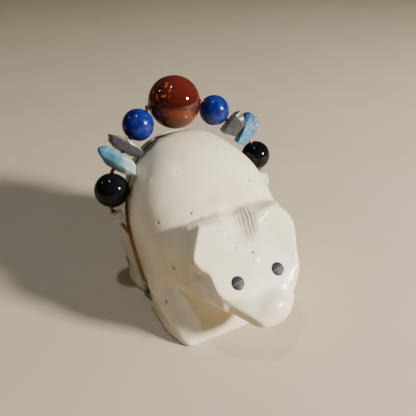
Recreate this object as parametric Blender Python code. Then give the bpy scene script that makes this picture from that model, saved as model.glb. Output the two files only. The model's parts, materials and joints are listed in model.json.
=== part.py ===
"""A small carved stone bear with a string of beads and chips tied round its waist.

The bear faces -Y, +Z is up, X = 0 is its plane of symmetry and the ground is Z = 0.
Sizes below are in millimetres; MM turns them into the metres that Blender holds.
The bear's right side is -X.
"""

import math

import bmesh
import bpy
from mathutils import Matrix, Vector
from mathutils.bvhtree import BVHTree

MM = 0.001
GAP = 0.3

# Driving sizes
SMALL_BEAD = 6.0
RIGHT_ONYX = 6.4
AMBER_BEAD = 10.0
BEAD_HOLE = 1.1
STRAND = 0.5
BAND = 0.7
EYE = 1.8
SOCKET_GAP = 0.25

# The trunk: stations along Y as (y, half width, bottom, top)
TRUNK = [
    (-13.0, 8.6, 10.0, 18.6),
    (-10.5, 10.8, 7.6, 19.7),
    (-7.0, 12.8, 4.5, 22.4),
    (-3.0, 13.7, 2.8, 25.4),
    (1.0, 13.9, 2.2, 27.4),
    (6.0, 12.8, 2.2, 28.2),
    (10.5, 11.9, 2.4, 27.7),
    (14.5, 10.0, 3.2, 25.6),
    (18.0, 7.0, 5.0, 21.6),
    (20.4, 3.2, 8.0, 16.6),
]
TRUNK_SQUARENESS = 2.15

# Side outlines (y, z) of the blocks that the legs are cut from
CHEST_OUTLINE = [
    (-17.6, -1.5), (-17.4, 1.0), (-16.4, 2.6), (-14.7, 5.0), (-11.4, 8.2),
    (-8.6, 13.0), (2.6, 14.5), (2.2, 10.4), (0.2, 6.8), (-2.6, 3.0), (-3.4, -1.5),
]
CHEST_HALF_WIDTH = 13.4
HAUNCH_OUTLINE = [
    (-1.4, -1.5), (-1.2, 1.8), (1.6, 5.6), (4.2, 10.0), (5.2, 14.5),
    (17.0, 14.5), (20.2, 9.0), (20.8, 4.0), (20.2, -1.5),
]
HAUNCH_HALF_WIDTH = 12.9

# The face lies on a plane that falls forward from the ears to the muzzle
FACE_Y, FACE_Z, FACE_SLOPE = -20.0, 14.0, 0.92

# The head, a little fuller on its left side: stations along Y as (y, top, brow corner,
# side corner, jaw corner, keel), where a corner is (x, z) before the left side is filled out
HEAD = [
    (-7.0, 19.4, (8.8, 18.4), (12.0, 15.0), (11.6, 8.2), 7.8),
    (-10.7, 20.8, (8.6, 20.4), (10.7, 16.0), (10.2, 8.7), 7.6),
    (-13.0, 20.4, (8.0, 20.2), (9.9, 15.6), (9.5, 9.1), 7.4),
    (-16.4, 17.4, (7.9, 17.2), (9.2, 13.8), (8.7, 9.5), 7.2),
    (-19.4, 14.6, (7.2, 14.2), (8.3, 12.0), (7.5, 9.8), 7.0),
    (-21.2, 12.9, (6.0, 12.4), (6.9, 10.9), (6.2, 9.5), 6.9),
    (-22.8, 11.3, (4.6, 10.8), (5.3, 9.7), (4.7, 8.6), 6.8),
    (-24.4, 9.9, (3.3, 9.4), (3.9, 8.7), (3.3, 7.6), 6.7),
    (-25.4, 9.0, (1.9, 8.8), (2.4, 8.3), (1.9, 7.6), 7.1),
]
LEFT_FULLNESS, LEFT_EAR = 1.11, 1.04
EAR = [
    (3.4, -12.3, 20.7), (3.6, -13.9, 19.9), (7.6, -14.3, 21.3), (8.7, -14.9, 20.2),
    (9.5, -16.6, 17.2), (8.6, -17.7, 15.8), (6.4, -16.8, 17.0), (3.9, -11.2, 20.4),
    (7.8, -11.2, 20.8), (9.0, -11.4, 19.2), (9.4, -12.6, 14.6), (5.0, -12.0, 15.0),
    (9.9, -9.0, 17.4), (10.7, -9.2, 14.6), (10.4, -9.0, 11.8),
]

EYE_X, EYE_Y = 3.8, -20.1
SOCKET_DEPTH = 0.9

# The belly slot, cut from below by a thin disc
SLOT_Y, SLOT_WIDTH, SLOT_ROOF = -2.5, 3.8, 5.2
SLOT_DISC_RADIUS = 60.0
SLOT_RIM = 0.5

# The string's plane leans back above the waist's middle and forward below it
WAIST = Vector((0.0, 3.7, 13.0))
LEAN_ABOVE = math.tan(math.radians(20.0))
LEAN_BELOW = math.tan(math.radians(32.5))
GROOVE_RADIUS, GROOVE_DEPTH = 2.2, 1.45
FLANK_ANGLE, PATH_STEP = 124, 8
STRAND_SINK = 0.65
STRAND_APART = 1.05
KNOT_HALF_WIDTH = 1.3

# The string on the bear's right side, mirrored here to +X; the left side reaches out a little
# more. Each hole points from the place where the strand leaves the bead before it.
LEFT_REACH = 1.03
AMBER_CENTRE = Vector((0.0, 11.0, 33.0))
LAPIS_CENTRE = Vector((7.8, 10.05, 30.3))
CHIPS_MEET = Vector((12.1, 8.35, 25.9))
ONYX_CENTRE = Vector((15.2, 6.05, 20.5))
ONYX_WAY = Vector((0.22, -0.33, -0.91)).normalized()
STRANDS_MEET = Vector((13.9, 3.4, 12.4))
CLEAR_LENGTH = 3.4
SIDES = ((-1, "right"), (1, "left"))

TUMBLE = 0.45

# Chip corners as (outward, forward, along the strand) from the hole's middle
CHIPS = {
    "grey_right": [
        (4.1, 0.9, -0.5), (3.1, 0.5, 0.8), (4.0, -1.0, -0.6), (3.2, -1.2, 0.7),
        (1.4, 1.5, -1.5), (1.0, -1.8, -1.4), (1.3, 0.8, 1.1), (-0.9, 1.5, 0.9), (0.8, -2.0, 1.1),
        (-2.6, 2.2, 0.5), (-2.8, 2.6, -0.9), (-2.6, -1.8, -1.1), (-2.6, -1.4, 0.8),
    ],
    "grey_left": [
        (1.7, 3.2, -2.1), (3.1, 2.7, -1.7), (2.9, 2.4, 0.5), (1.3, 2.8, 1.5), (-1.2, 2.8, 1.5),
        (-2.4, 3.1, -1.3), (-1.4, 3.2, -1.9), (0.8, -2.0, -1.0), (0.8, -1.8, 1.1),
        (2.4, -1.4, -1.0), (2.3, -1.3, 0.7), (-2.4, -1.6, -0.9), (-2.4, -1.2, 0.8),
    ],
    "turquoise_right": [
        (5.8, 1.3, -0.2), (4.8, 1.3, 0.5), (4.8, 1.5, -1.3), (3.2, 1.8, -1.8), (1.6, 2.3, -1.7),
        (-0.9, 3.5, -1.5), (-1.5, 4.4, -1.2), (-2.7, 4.2, 0.8), (-1.7, 3.0, 1.3),
        (0.3, 1.9, 1.3), (3.0, 1.5, 0.7), (-1.9, -1.2, -0.9), (-1.9, -1.1, 1.0),
        (1.2, -1.6, -1.2), (1.0, -1.6, 1.2), (3.6, -0.8, -0.9), (3.4, -0.7, 0.4),
    ],
    "turquoise_left": [
        (3.6, -1.6, -2.7), (3.5, -0.2, -2.4), (4.5, -1.9, -2.0), (4.5, 0.0, -1.8),
        (4.8, -1.4, 0.5), (4.6, 0.2, 0.2), (3.4, -1.3, 2.0), (3.2, 0.4, 1.6), (0.9, -1.2, 1.4),
        (0.7, 0.9, 1.4), (-1.3, 1.2, 1.3), (-1.5, -1.2, 1.1), (-2.1, 1.6, -0.6),
        (-2.1, -1.0, -0.7), (0.4, 1.4, -1.1), (0.4, -1.6, -1.1),
    ],
    "clear_right": [
        (0.9, 0.9, -1.4), (0.9, -0.9, -1.3), (1.1, 0.8, 0.6), (1.0, -0.9, 0.7),
        (-0.6, 1.9, -1.5), (-0.4, -1.0, -1.2), (-0.3, 2.2, 1.0), (-0.5, -0.9, 0.9),
        (-1.1, 2.0, -1.4), (-1.0, 2.0, 0.3), (-0.3, 0.9, 1.8), (-0.2, -0.4, 1.7),
    ],
    "clear_left": [
        (-1.1, 1.0, -1.5), (-1.1, -1.0, -1.4), (1.4, 0.9, -1.5), (1.4, -1.0, -1.4),
        (2.3, 0.6, -0.9), (3.0, 0.3, 1.0), (2.9, -1.1, 1.1), (1.9, 0.6, 2.0), (1.8, -0.9, 2.0),
        (-0.6, 1.0, 1.5), (-0.6, -1.0, 1.5), (0.5, 1.8, 0.0), (0.5, -1.7, 0.0),
    ],
}

# The model's origin is under the middle of its bounding box
PLACE = Vector((0.0, 2.32, 0.0))


def clear_scene():
    for item in list(bpy.data.objects):
        bpy.data.objects.remove(item)


def face_height(y):
    return FACE_Z + (y - FACE_Y) * FACE_SLOPE


def material(name, colour, roughness, metallic=0.0, alpha=1.0):
    finish = bpy.data.materials.new(name)
    finish.use_nodes = True
    shader = finish.node_tree.nodes["Principled BSDF"]
    shader.inputs["Base Color"].default_value = (*colour, 1.0)
    shader.inputs["Roughness"].default_value = roughness
    shader.inputs["Metallic"].default_value = metallic
    shader.inputs["Alpha"].default_value = alpha
    return finish


def mesh_object(name, shape, finish=None, centre=Vector((0, 0, 0))):
    """Turn a bmesh in millimetres into an object whose origin is at centre, set in its place."""
    bmesh.ops.translate(shape, verts=shape.verts, vec=-centre)
    bmesh.ops.scale(shape, verts=shape.verts, vec=(MM, MM, MM))
    bmesh.ops.recalc_face_normals(shape, faces=shape.faces)
    mesh = bpy.data.meshes.new(name)
    shape.to_mesh(mesh)
    shape.free()
    item = bpy.data.objects.new(name, mesh)
    item.location = (centre + PLACE) * MM
    bpy.context.scene.collection.objects.link(item)
    if finish:
        mesh.materials.append(finish)
    return item


def catmull_rom(points, steps):
    """Points on a smooth curve through the given points, steps to each span."""
    points = [Vector(p) for p in points]
    ends = [points[0] * 2 - points[1], *points, points[-1] * 2 - points[-2]]
    curve = []
    for a, b, c, d in zip(ends, ends[1:], ends[2:], ends[3:]):
        for step in range(steps):
            t = step / steps
            curve.append(
                0.5 * (2 * b + (c - a) * t + (2 * a - 5 * b + 4 * c - d) * t ** 2
                       + (3 * b - a - 3 * c + d) * t ** 3)
            )
    curve.append(points[-1])
    return curve


# ---------------------------------------------------------------- the stone


def add_loft(shape, rings):
    """Join rings of equal length with faces and close both ends."""
    made = [[shape.verts.new(point) for point in ring] for ring in rings]
    count = len(made[0])
    for low, high in zip(made, made[1:]):
        for i in range(count):
            j = (i + 1) % count
            shape.faces.new((low[i], low[j], high[j], high[i]))
    shape.faces.new(reversed(made[0]))
    shape.faces.new(made[-1])


def add_hull(shape, points):
    verts = [shape.verts.new(point) for point in points]
    made = bmesh.ops.convex_hull(shape, input=verts)
    loose = [v for v in made["geom_interior"] if isinstance(v, bmesh.types.BMVert)]
    bmesh.ops.delete(shape, geom=loose, context="VERTS")


def trunk_ring(y, half_width, bottom, top, count=40):
    """A superellipse section of the trunk in the plane at y."""
    power = 2.0 / TRUNK_SQUARENESS
    ring = []
    for i in range(count):
        angle = 2 * math.pi * i / count
        across, up = math.cos(angle), math.sin(angle)
        x = half_width * math.copysign(abs(across) ** power, across)
        z = (bottom + top) / 2 + (top - bottom) / 2 * math.copysign(abs(up) ** power, up)
        ring.append(Vector((x, y, z)))
    return ring


def add_trunk(shape):
    sizes = [Vector((y, w, b, t)) for y, w, b, t in TRUNK]
    add_loft(shape, [trunk_ring(*station) for station in catmull_rom(sizes, 3)])


def add_leg_block(shape, outline, half_width, setback, power):
    """A block across the bear, from its side outline; the far side sets back towards its ends.

    A negative setback draws in the front face, a positive one the back face.
    """
    nearest, farthest = min(y for y, _ in outline), max(y for y, _ in outline)
    still, moving = (farthest, nearest) if setback < 0 else (nearest, farthest)
    rings = []
    for part in (-1.0, -0.96, -0.9, -0.8, -0.65, -0.4, 0.0, 0.4, 0.65, 0.8, 0.9, 0.96, 1.0):
        ring = []
        for y, z in outline:
            share = (y - still) / (moving - still)
            drawn = y - setback * share * abs(part) ** power
            ring.append(Vector((part * half_width, drawn, z)))
        rings.append(ring)
    add_loft(shape, rings)


def add_ellipsoid(shape, centre, radii):
    place = Matrix.Translation(centre) @ Matrix.Diagonal((*radii, 1.0))
    bmesh.ops.create_icosphere(shape, subdivisions=3, radius=1.0, matrix=place)


def head_ring(y, top, brow, side, jaw, keel):
    """A section of the head; top and keel are heights, the others (x, z) corners."""
    half = [
        (0.0, top), (0.55 * brow[0], 0.8 * top + 0.2 * brow[1]), brow, side, jaw,
        (0.5 * jaw[0], 0.3 * jaw[1] + 0.7 * keel), (0.0, keel),
    ]
    left = [(x * LEFT_FULLNESS, z) for x, z in half]
    right = [(-x, z) for x, z in half[1:-1]]
    return [Vector((x, y, z)) for x, z in left + right[::-1]]


def add_head(shape):
    """The head: a wedge whose face falls to the muzzle, with keeled cheeks below."""
    add_loft(shape, [head_ring(*station) for station in HEAD])


def add_ears(shape):
    """Two low blocky ears at the top corners of the face."""
    for side in (-1.0, LEFT_EAR):
        add_hull(shape, [Vector((side * x, y, z)) for x, y, z in EAR])


def body_blank():
    """The trunk and legs as closed overlapping shells."""
    shape = bmesh.new()
    add_trunk(shape)
    add_leg_block(shape, CHEST_OUTLINE, CHEST_HALF_WIDTH, setback=-6.0, power=12)
    add_leg_block(shape, HAUNCH_OUTLINE, HAUNCH_HALF_WIDTH, setback=15.0, power=3)
    add_ellipsoid(shape, (0.0, 8.6, 11.0), (12.9, 12.3, 14.0))
    for side in (-1, 1):
        add_ellipsoid(shape, (side * 4.6, 8.6, 6.0), (8.8, 11.6, 12.0))
        add_ellipsoid(shape, (side * 9.6, 3.6, 0.6), (4.6, 5.6, 4.0))
        add_ellipsoid(shape, (side * 7.8, -5.6, 11.0), (5.6, 6.6, 8.0))
    return shape


def head_blank():
    shape = bmesh.new()
    add_head(shape)
    add_ears(shape)
    return shape


def cutter(name, shape):
    item = mesh_object(name, shape)
    item.hide_render = True
    item.display_type = "WIRE"
    return item


def cut(item, tool):
    step = item.modifiers.new(tool.name, "BOOLEAN")
    step.operation = "DIFFERENCE"
    step.solver = "EXACT"
    step.object = tool


def slot_cutter():
    """A thin upright disc that cuts the gap between front and hind feet."""
    shape = bmesh.new()
    turn = Matrix.Rotation(math.radians(90.0), 4, "X")
    centre = Matrix.Translation((0.0, SLOT_Y, SLOT_ROOF - SLOT_DISC_RADIUS))
    bmesh.ops.create_cone(
        shape, cap_ends=True, segments=160, depth=SLOT_WIDTH,
        radius1=SLOT_DISC_RADIUS, radius2=SLOT_DISC_RADIUS, matrix=centre @ turn,
    )
    rims = [edge for edge in shape.edges if abs(edge.verts[0].co.y - edge.verts[1].co.y) < 0.01]
    bmesh.ops.bevel(shape, geom=rims, offset=SLOT_RIM, segments=2, affect="EDGES")
    return cutter("belly_slot_cutter", shape)


def ground_cutter():
    shape = bmesh.new()
    place = Matrix.Translation((0, 0, -10.0)) @ Matrix.Diagonal((60.0, 80.0, 20.0, 1.0))
    bmesh.ops.create_cube(shape, size=1.0, matrix=place)
    return cutter("ground_cutter", shape)


def eye_frame(side):
    """The eye's centre on the face and a matrix whose +Z is the face's normal."""
    normal = Vector((0.0, -FACE_SLOPE, 1.0)).normalized()
    centre = Vector((side * EYE_X, EYE_Y, face_height(EYE_Y)))
    turn = normal.to_track_quat("Z", "X").to_matrix().to_4x4()
    return centre, Matrix.Translation(centre) @ turn


def socket_cutter(side, name):
    shape = bmesh.new()
    _, place = eye_frame(side)
    depth = SOCKET_DEPTH + 3.0
    middle = Matrix.Translation((0, 0, depth / 2 - SOCKET_DEPTH))
    radius = EYE / 2 + SOCKET_GAP
    bmesh.ops.create_cone(
        shape, cap_ends=True, segments=24, depth=depth,
        radius1=radius, radius2=radius, matrix=place @ middle,
    )
    return cutter(name, shape)


def waist_direction(angle):
    """Direction from the waist's middle at this angle from straight up, in the string's plane."""
    lean = LEAN_ABOVE if math.cos(angle) > 0 else LEAN_BELOW
    return Vector((math.sin(angle), lean * math.cos(angle), math.cos(angle)))


def waist_path(stone):
    """Points on the stone's skin from flank to flank over the back, as (point, outward way)."""
    graph = bpy.context.evaluated_depsgraph_get()
    skin = BVHTree.FromObject(stone, graph)
    path = []
    for degrees in range(-FLANK_ANGLE, FLANK_ANGLE + 1, PATH_STEP):
        way = waist_direction(math.radians(degrees)).normalized()
        hit, _, _, _ = skin.ray_cast(WAIST * MM, way)
        path.append((hit / MM, way))
    return path


def under_belly(start, aside, radius):
    """The strand's route from a flank in under the belly to the knot, on the left side."""
    route = []
    for x in (start.x - 0.9, start.x - 2.4, 7.0, 4.0, KNOT_HALF_WIDTH + GAP):
        roof = SLOT_ROOF - x * x / (2 * SLOT_DISC_RADIUS)
        route.append(Vector((x, SLOT_Y + aside, roof - 1.5 * GAP - radius)))
    return route


def mirror(point):
    return Vector((-point.x, point.y, point.z))


def beside(path, sink, aside):
    """The path's points moved into the stone by sink and across the path by aside."""
    moved = []
    for i, (point, way) in enumerate(path):
        before, after = path[max(i - 1, 0)][0], path[min(i + 1, len(path) - 1)][0]
        across = way.cross(after - before).normalized()
        if across.y < 0:
            across = -across
        moved.append(point - way * sink + across * aside)
    return moved


def tube(name, points, radius, finish=None, resolution=2):
    """A round strand with closed ends through the points."""
    curve = bpy.data.curves.new(name, "CURVE")
    curve.dimensions = "3D"
    curve.bevel_depth = radius * MM
    curve.bevel_resolution = resolution
    curve.use_fill_caps = True
    spline = curve.splines.new("POLY")
    spline.points.add(len(points) - 1)
    for spot, point in zip(spline.points, points):
        spot.co = (*(point * MM), 1.0)
    item = bpy.data.objects.new(name, curve)
    item.location = PLACE * MM
    bpy.context.scene.collection.objects.link(item)
    if finish:
        curve.materials.append(finish)
    return item


def add_tube(shape, centres, radius, sides):
    """A capped tube through the centres, swept without twist."""
    rings = []
    across = Vector((0.0, 1.0, 0.0))
    for i, centre in enumerate(centres):
        along = centres[min(i + 1, len(centres) - 1)] - centres[max(i - 1, 0)]
        across = (across - along * across.dot(along) / along.length_squared).normalized()
        other = along.normalized().cross(across)
        ring = []
        for side in range(sides):
            angle = 2 * math.pi * side / sides
            ring.append(centre + (across * math.cos(angle) + other * math.sin(angle)) * radius)
        rings.append(ring)
    add_loft(shape, rings)


def groove_cutter(path):
    """A bent round bar that wears a shallow groove where the string lies."""
    shape = bmesh.new()
    lift = GROOVE_RADIUS - GROOVE_DEPTH
    bar = [point + way * lift for point, way in path]
    bar = [bar[0] * 2 - bar[1], *bar, bar[-1] * 2 - bar[-2]]
    add_tube(shape, bar, GROOVE_RADIUS, 12)
    return cutter("waist_groove_cutter", shape)


def melt(item, voxel, passes):
    """Fuse an object's overlapping shells into one skin and round its edges."""
    blend = item.modifiers.new("one_skin", "REMESH")
    blend.mode = "VOXEL"
    blend.voxel_size = voxel * MM
    blend.use_smooth_shade = True
    soften = item.modifiers.new("polish", "SMOOTH")
    soften.factor = 0.5
    soften.iterations = passes


def make_bear():
    finish = material("cream_stone", (0.78, 0.73, 0.63), 0.22)
    bear = mesh_object("bear_carving", body_blank(), finish)
    melt(bear, voxel=0.6, passes=6)
    head = cutter("head_blank", head_blank())
    melt(head, voxel=0.4, passes=2)
    join = bear.modifiers.new("head", "BOOLEAN")
    join.operation = "UNION"
    join.solver = "MANIFOLD"  # the exact solver leaves open edges where the two skins meet
    join.object = head
    thin = bear.modifiers.new("thin", "DECIMATE")
    thin.ratio = 0.28
    return bear


# ---------------------------------------------------------------- the inlays and the string


def add_turned(shape, profile, segments, place):
    """Turn a profile of (radius, height) about Z; it is open where it meets the axis."""
    rings = []
    for radius, height in profile:
        if radius < 1e-6:
            rings.append([shape.verts.new(place @ Vector((0.0, 0.0, height)))])
            continue
        ring = []
        for i in range(segments):
            angle = 2 * math.pi * i / segments
            point = Vector((radius * math.cos(angle), radius * math.sin(angle), height))
            ring.append(shape.verts.new(place @ point))
        rings.append(ring)
    closed = profile[0][0] > 1e-6
    pairs = list(zip(rings, rings[1:])) + ([(rings[-1], rings[0])] if closed else [])
    for low, high in pairs:
        for i in range(segments):
            j = (i + 1) % segments
            corners = [low[i % len(low)], low[j % len(low)], high[j % len(high)], high[i % len(high)]]
            shape.faces.new(list(dict.fromkeys(corners)))


def make_eye(side, name, finish):
    """A short round plug set in its socket, domed a little above the face."""
    shape = bmesh.new()
    centre, place = eye_frame(side)
    radius = EYE / 2
    profile = [(0.0, -SOCKET_DEPTH + GAP), (radius, -SOCKET_DEPTH + GAP),
               (radius, 0.0), (0.6 * radius, 0.12), (0.0, 0.16)]
    add_turned(shape, profile, 20, place)
    return mesh_object(name, shape, finish, centre)


def along_frame(centre, way, outward):
    """A matrix at centre whose +Z is the strand's way and whose +X points outward."""
    z = way.normalized()
    x = (outward - z * outward.dot(z)).normalized()
    turn = Matrix((x, z.cross(x), z)).transposed().to_4x4()
    return Matrix.Translation(centre) @ turn


def make_bead(name, centre, way, radius, finish):
    """A ball with a straight hole through it."""
    hole = BEAD_HOLE / 2
    start = math.asin(hole / radius)
    profile = []
    steps = 10
    for i in range(steps + 1):
        angle = start + (math.pi - 2 * start) * i / steps
        profile.append((radius * math.sin(angle), radius * math.cos(angle)))
    shape = bmesh.new()
    add_turned(shape, profile, 24, along_frame(centre, way, Vector((0, 1, 0))))
    bead = mesh_object(name, shape, finish, centre)
    bead.data.shade_smooth()
    bead.data.set_sharp_from_angle(angle=math.radians(50))
    return bead


def make_chip(name, centre, way, corners, finish):
    """A tumbled chip of stone with a drilled hole; its outline is the hull of its corners."""
    outward = Vector((centre.x, 0.0, centre.z - WAIST.z))
    frame = along_frame(centre, way, outward)
    forward = frame.col[1].to_3d()
    turn = 1.0 if forward.y < 0 else -1.0
    shape = bmesh.new()
    add_hull(shape, [frame @ Vector((out, turn * ahead, far)) for out, ahead, far in corners])
    chip = mesh_object(name, shape, finish, centre)
    tumble = chip.modifiers.new("tumble", "BEVEL")
    tumble.width = TUMBLE * MM
    tumble.segments = 2
    tumble.limit_method = "ANGLE"
    hole = bmesh.new()
    bmesh.ops.create_cone(hole, cap_ends=True, segments=12, depth=9.0,
                          radius1=BEAD_HOLE / 2, radius2=BEAD_HOLE / 2, matrix=frame)
    cut(chip, cutter(name + "_drill", hole))
    return chip


def string_on(side):
    """One side's beads as (kind, centre, way) from the amber bead down, and the strand's route."""
    reach = LEFT_REACH if side > 0 else -1.0
    small = SMALL_BEAD / 2 + GAP / 2
    black = (SMALL_BEAD if side > 0 else RIGHT_ONYX) / 2 + GAP / 2
    lapis, meet, onyx, down, last = (
        Vector((p.x * reach, p.y, p.z))
        for p in (LAPIS_CENTRE, CHIPS_MEET, ONYX_CENTRE, ONYX_WAY, STRANDS_MEET)
    )
    leaves_amber = AMBER_CENTRE + Vector((side * (AMBER_BEAD / 2 + 0.1), 0.0, 0.0))
    lapis_way = (lapis - leaves_amber).normalized()
    leaves_lapis = lapis + lapis_way * small
    enters_onyx, leaves_onyx = onyx - down * black, onyx + down * black
    clear_way = (last - leaves_onyx).normalized()
    clear = leaves_onyx + clear_way * (CLEAR_LENGTH / 2 + 0.2)
    places = [
        ("lapis", lapis, lapis_way),
        ("grey", (leaves_lapis + meet) / 2, meet - leaves_lapis),
        ("turquoise", (meet + enters_onyx) / 2, enters_onyx - meet),
        ("onyx", onyx, down),
        ("clear", clear, clear_way),
    ]
    return places, [leaves_amber, leaves_lapis, meet, enters_onyx, leaves_onyx, last]


def make_beads():
    finishes = {
        "lapis": material("lapis", (0.02, 0.06, 0.42), 0.25),
        "onyx": material("onyx", (0.008, 0.008, 0.01), 0.08),
        "grey": material("grey_quartz", (0.45, 0.46, 0.50), 0.15),
        "turquoise": material("turquoise", (0.20, 0.52, 0.68), 0.35),
        "clear": material("clear_quartz", (0.75, 0.76, 0.76), 0.10),
    }
    amber = material("amber", (0.45, 0.06, 0.01), 0.06)
    make_bead("amber_bead", AMBER_CENTRE, Vector((1, 0, 0)), AMBER_BEAD / 2, amber)
    for side, hand in SIDES:
        places, _ = string_on(side)
        sizes = {"lapis": SMALL_BEAD, "onyx": RIGHT_ONYX if side < 0 else SMALL_BEAD}
        for kind, centre, way in places:
            if kind in sizes:
                make_bead(f"{kind}_bead_{hand}", centre, way, sizes[kind] / 2, finishes[kind])
            else:
                corners = CHIPS[f"{kind}_{hand}"]
                make_chip(f"{kind}_chip_{hand}", centre, way, corners, finishes[kind])


def make_sinew(path):
    finish = material("sinew", (0.30, 0.14, 0.06), 0.45)
    over = beside(path, STRAND_SINK, -STRAND_APART / 2)
    under = under_belly(over[-1], -STRAND_APART / 2, BAND / 2)
    band = [mirror(point) for point in reversed(under)] + over + under
    tube("sinew_band", band, BAND / 2, finish)
    halves = [half_strand(path, side) for side, _ in SIDES]
    tube("bead_strand", halves[0][::-1] + halves[1], STRAND / 2, finish)
    make_knot(finish)


def half_strand(path, side):
    """The bead strand from the amber bead down one side to the knot under the belly."""
    _, route = string_on(side)
    flank = beside(path, STRAND_SINK, STRAND_APART / 2)
    flank = [p for p in flank if p.z < STRANDS_MEET.z - 1.5 and p.x * side > 0]
    flank.sort(key=lambda p: -p.z)
    end = Vector((abs(flank[-1].x), 0.0, 0.0))
    under = under_belly(end, STRAND_APART / 2, STRAND / 2)
    return route + flank + [Vector((side * p.x, p.y, p.z)) for p in under]


def make_knot(finish):
    """The knot under the belly, where both strands end in it, with two short cut tails."""
    shape = bmesh.new()
    middle = Vector((0.0, SLOT_Y, SLOT_ROOF - 1.6))
    add_ellipsoid(shape, middle, (KNOT_HALF_WIDTH, 1.15, 0.95))
    for side in (-1, 1):
        tail = [
            middle + Vector((side * 0.5, side * 0.3, -0.4)),
            middle + Vector((side * 1.5, side * 0.5, -1.3)),
            middle + Vector((side * 2.9, side * 0.4, -2.0)),
        ]
        add_tube(shape, tail, BAND / 2, 8)
    knot = mesh_object("belly_knot", shape, finish)
    melt(knot, voxel=0.2, passes=1)
    thin = knot.modifiers.new("thin", "DECIMATE")
    thin.ratio = 0.25


def main():
    clear_scene()
    bear = make_bear()
    path = waist_path(bear)
    for tool in (groove_cutter(path), slot_cutter(), ground_cutter()):
        cut(bear, tool)
    for side, hand in SIDES:
        cut(bear, socket_cutter(side, f"{hand}_socket_cutter"))
        inlay = material(f"{hand}_jet", (0.03, 0.035, 0.045), 0.25)
        make_eye(side, f"{hand}_eye_inlay", inlay)
    make_beads()
    make_sinew(path)


main()
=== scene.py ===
"""Looks of a small polished stone bear that carries a string of beads over its back.

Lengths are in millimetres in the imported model's frame; MM turns them into metres.
The bear faces -Y, its left side is +X and the ground is Z = 0.
"""

import json
import math

import bmesh
import bpy
import numpy as np
from mathutils import Matrix, Vector, noise
from mathutils.bvhtree import BVHTree


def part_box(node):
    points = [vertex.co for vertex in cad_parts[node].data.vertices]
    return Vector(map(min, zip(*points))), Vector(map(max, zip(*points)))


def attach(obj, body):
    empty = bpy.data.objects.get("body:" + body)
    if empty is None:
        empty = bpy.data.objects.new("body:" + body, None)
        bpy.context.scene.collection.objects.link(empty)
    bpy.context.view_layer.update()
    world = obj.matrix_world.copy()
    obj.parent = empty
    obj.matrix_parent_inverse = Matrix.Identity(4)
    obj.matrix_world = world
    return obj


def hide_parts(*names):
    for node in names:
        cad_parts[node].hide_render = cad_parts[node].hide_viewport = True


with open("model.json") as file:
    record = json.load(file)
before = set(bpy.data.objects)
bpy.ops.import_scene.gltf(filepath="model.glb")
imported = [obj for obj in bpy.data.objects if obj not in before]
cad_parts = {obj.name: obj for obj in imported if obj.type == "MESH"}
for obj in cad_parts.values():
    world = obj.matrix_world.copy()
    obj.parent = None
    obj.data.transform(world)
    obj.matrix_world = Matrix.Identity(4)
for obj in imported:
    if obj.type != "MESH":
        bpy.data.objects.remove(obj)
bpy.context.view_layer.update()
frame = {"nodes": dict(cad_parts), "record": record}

MM = 0.001
BEAR = "bear"
SIDES = ((-1, "right"), (1, "left"))

# View
AZIMUTH, ELEVATION = math.radians(-27.7), math.radians(32.4)
LOOK_AT = Vector((4.45, 8.11, 11.02))
VIEW_DISTANCE = 100.0
FOCAL, SENSOR = 41.54, 36.0
LIGHT_DISTANCE = 420.0

# Stone
COARSE_VOXEL, STONE_VOXEL = 0.45, 0.25
STONE_POLISH = 12

# Where the amber's cracks are painted bright as glints, from its middle in radii, and the way
# from its painted caustic (orange low down, where light gathers through the bead) to its dark part
CRACK_GLINT_SPOT = (-0.68, -0.42, 0.58)
AMBER_CAUSTIC_WAY = (0.25, 0.47, 0.85)

# String
BEAD_HOLE = 1.1
STRAND = 0.72
BAND = 1.10
KNOT_STRAND = 0.72
BAND_SINK, STRAND_SINK = 0.32, 0.05
STRANDS_MEET_BELOW = 3.0
AMBER_BEAD = 10.0
BEAD_GAP = 0.15

# The string's plane round the waist leans back above the middle and forward below it
WAIST = Vector((0.0, 6.02, 13.0))
LEAN_ABOVE = math.tan(math.radians(20.0))
LEAN_BELOW = math.tan(math.radians(32.5))
FLANK_ANGLE, PATH_STEP = 124, 4
GROOVE_RADIUS, GROOVE_DEPTH = 2.2, 1.45

# The string itself runs a little further back, in a shallow worn groove (radius, depths)
STRING_WAIST = WAIST + Vector((0.0, 0.9, 0.0))
STRING_ABOVE = math.tan(math.radians(24.0))
STRING_BELOW = math.tan(math.radians(36.0))
WORN_GROOVE = (1.7, 0.22, 0.85)
SHOULDER = Vector((-11.2, -8.4, 15.6))
STRAND_APART = 1.0
SLOT_Y, SLOT_ROOF, SLOT_DISC_RADIUS = -0.18, 5.2, 60.0

# The face falls forward from the ears to the muzzle
FACE_SLOPE = 0.92
FACE_POINT = Vector((0.0, -17.68, 14.0))
FACE_NORMAL = Vector((0.0, -FACE_SLOPE, 1.0)).normalized()
EYE_SPOT = Vector((3.8, -17.78, 13.93))
EYE_RADIUS = 1.2
CHATTER_TURN = math.radians(13.0)
SCRATCH = math.radians(9.0)

# Outlines of the flat that the face is ground to, as (x, y); the bear's left side is fuller
RIGHT_EAR = [(-7.3, -10.6), (-8.9, -12.5), (-9.8, -13.8), (-8.6, -15.1), (-3.0, -11.4), (-3.0, -15.0)]
RIGHT_CHEEK = [(-8.2, -14.6), (-7.9, -16.6), (-7.7, -18.3), (-6.9, -19.5), (-2.0, -14.0), (-1.0, -20.0)]
LEFT_EAR = [(7.4, -10.1), (9.8, -11.2), (10.3, -12.9), (9.5, -15.2), (3.2, -10.9), (3.2, -15.2)]
LEFT_CHEEK = [(9.5, -14.8), (8.2, -18.0), (6.7, -20.3), (2.0, -14.0), (1.0, -20.2)]
EAR_EDGE = Vector((-8.5, -12.2, 19.0))
EAR_SIDE = Vector((-0.78, 0.09, 0.62))
MUZZLE_SIDE = Vector((-2.7, -21.9, 7.9))
MUZZLE_SIDE_NORMAL = Vector((-0.75, -0.62, -0.22))
CHEEK_END = (6.0, -20.2, 11.4)
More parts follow.
